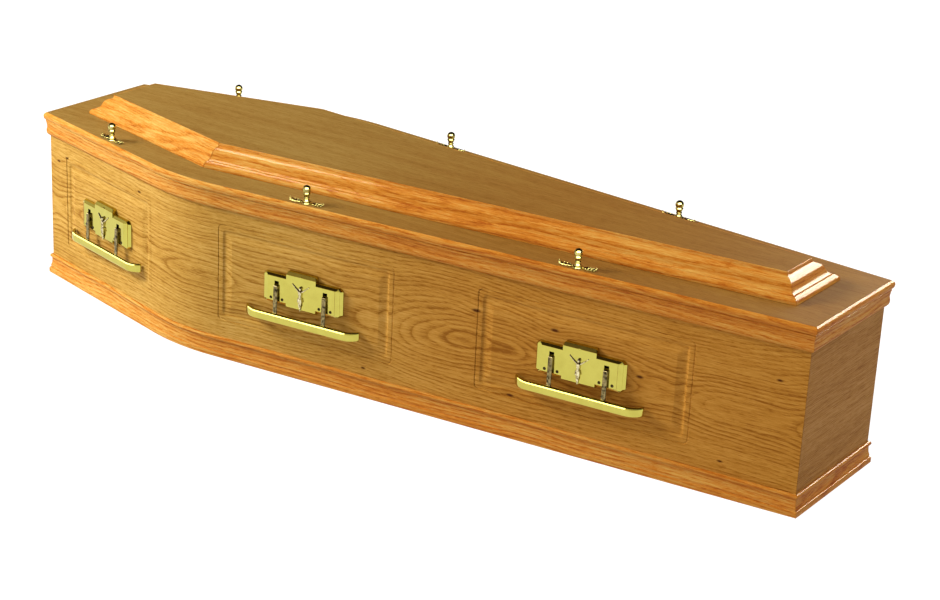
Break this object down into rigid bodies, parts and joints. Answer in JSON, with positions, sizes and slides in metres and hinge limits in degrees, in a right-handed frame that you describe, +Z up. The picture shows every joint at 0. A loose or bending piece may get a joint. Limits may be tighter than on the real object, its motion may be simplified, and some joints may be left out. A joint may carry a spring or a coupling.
{
  "type": "wooden coffin",
  "caption": "Veneered oak coffin, wider at the shoulders, with a moulded raised lid, lid screws and swing-bar handles on plates.",
  "frame": {"origin": "centre of the underside, half way between the head and foot ends", "axes": "+Z up, +X from the head to the foot, +Y to the coffin's far side"},
  "size_m": [1.9542, 0.5954, 0.4313],
  "materials": {
    "oak_veneer": "satin varnished oak veneer",
    "solid_oak": "satin varnished solid oak moulding",
    "brass": "polished bright brass"
  },
  "bodies": {
    "coffin": {"base_board": "oak_veneer", "side_board_near": "oak_veneer", "side_board_far": "oak_veneer", "head_board": "oak_veneer", "foot_board": "oak_veneer", "lid_board": "oak_veneer", "raised_board": "oak_veneer", "base_moulding_near": "solid_oak", "base_moulding_far": "solid_oak", "base_moulding_head": "solid_oak", "base_moulding_foot": "solid_oak", "lid_moulding_near": "solid_oak", "lid_moulding_far": "solid_oak", "lid_moulding_head": "solid_oak", "lid_moulding_foot": "solid_oak", "raised_moulding_near_head": "solid_oak", "raised_moulding_near_foot": "solid_oak", "raised_moulding_far_head": "solid_oak", "raised_moulding_far_foot": "solid_oak", "raised_moulding_head": "solid_oak", "raised_moulding_foot": "solid_oak", "handle_plate_near_head": "brass", "lid_screw_near_head": "brass", "lid_screw_plate_near_head": "brass", "handle_plate_near_middle": "brass", "lid_screw_near_middle": "brass", "lid_screw_plate_near_middle": "brass", "handle_plate_near_foot": "brass", "lid_screw_near_foot": "brass", "lid_screw_plate_near_foot": "brass", "handle_plate_far_head": "brass", "lid_screw_far_head": "brass", "lid_screw_plate_far_head": "brass", "handle_plate_far_middle": "brass", "lid_screw_far_middle": "brass", "lid_screw_plate_far_middle": "brass", "handle_plate_far_foot": "brass", "lid_screw_far_foot": "brass", "lid_screw_plate_far_foot": "brass"},
    "bar_near_head": {"handle_bar_near_head": "brass"},
    "bar_near_middle": {"handle_bar_near_middle": "brass"},
    "bar_near_foot": {"handle_bar_near_foot": "brass"},
    "bar_far_head": {"handle_bar_far_head": "brass"},
    "bar_far_middle": {"handle_bar_far_middle": "brass"},
    "bar_far_foot": {"handle_bar_far_foot": "brass"}
  },
  "joints": [
    {"name": "swing_near_head", "type": "hinge", "parent": "coffin", "child": "bar_near_head", "pos_m": [-0.72994, -0.22543, 0.197], "axis": [-0.9667, 0.2558, 0], "range_deg": [0, 85]},
    {"name": "swing_near_middle", "type": "hinge", "parent": "coffin", "child": "bar_near_middle", "pos_m": [-0.13382, -0.26812, 0.197], "axis": [-0.9953, -0.097, 0], "range_deg": [0, 85]},
    {"name": "swing_near_foot", "type": "hinge", "parent": "coffin", "child": "bar_near_foot", "pos_m": [0.50714, -0.20566, 0.197], "axis": [-0.9953, -0.097, 0], "range_deg": [0, 85]},
    {"name": "swing_far_head", "type": "hinge", "parent": "coffin", "child": "bar_far_head", "pos_m": [-0.72994, 0.22543, 0.197], "axis": [0.9667, 0.2558, 0], "range_deg": [0, 85]},
    {"name": "swing_far_middle", "type": "hinge", "parent": "coffin", "child": "bar_far_middle", "pos_m": [-0.13382, 0.26812, 0.197], "axis": [0.9953, -0.097, 0], "range_deg": [0, 85]},
    {"name": "swing_far_foot", "type": "hinge", "parent": "coffin", "child": "bar_far_foot", "pos_m": [0.50714, 0.20566, 0.197], "axis": [0.9953, -0.097, 0], "range_deg": [0, 85]}
  ]
}
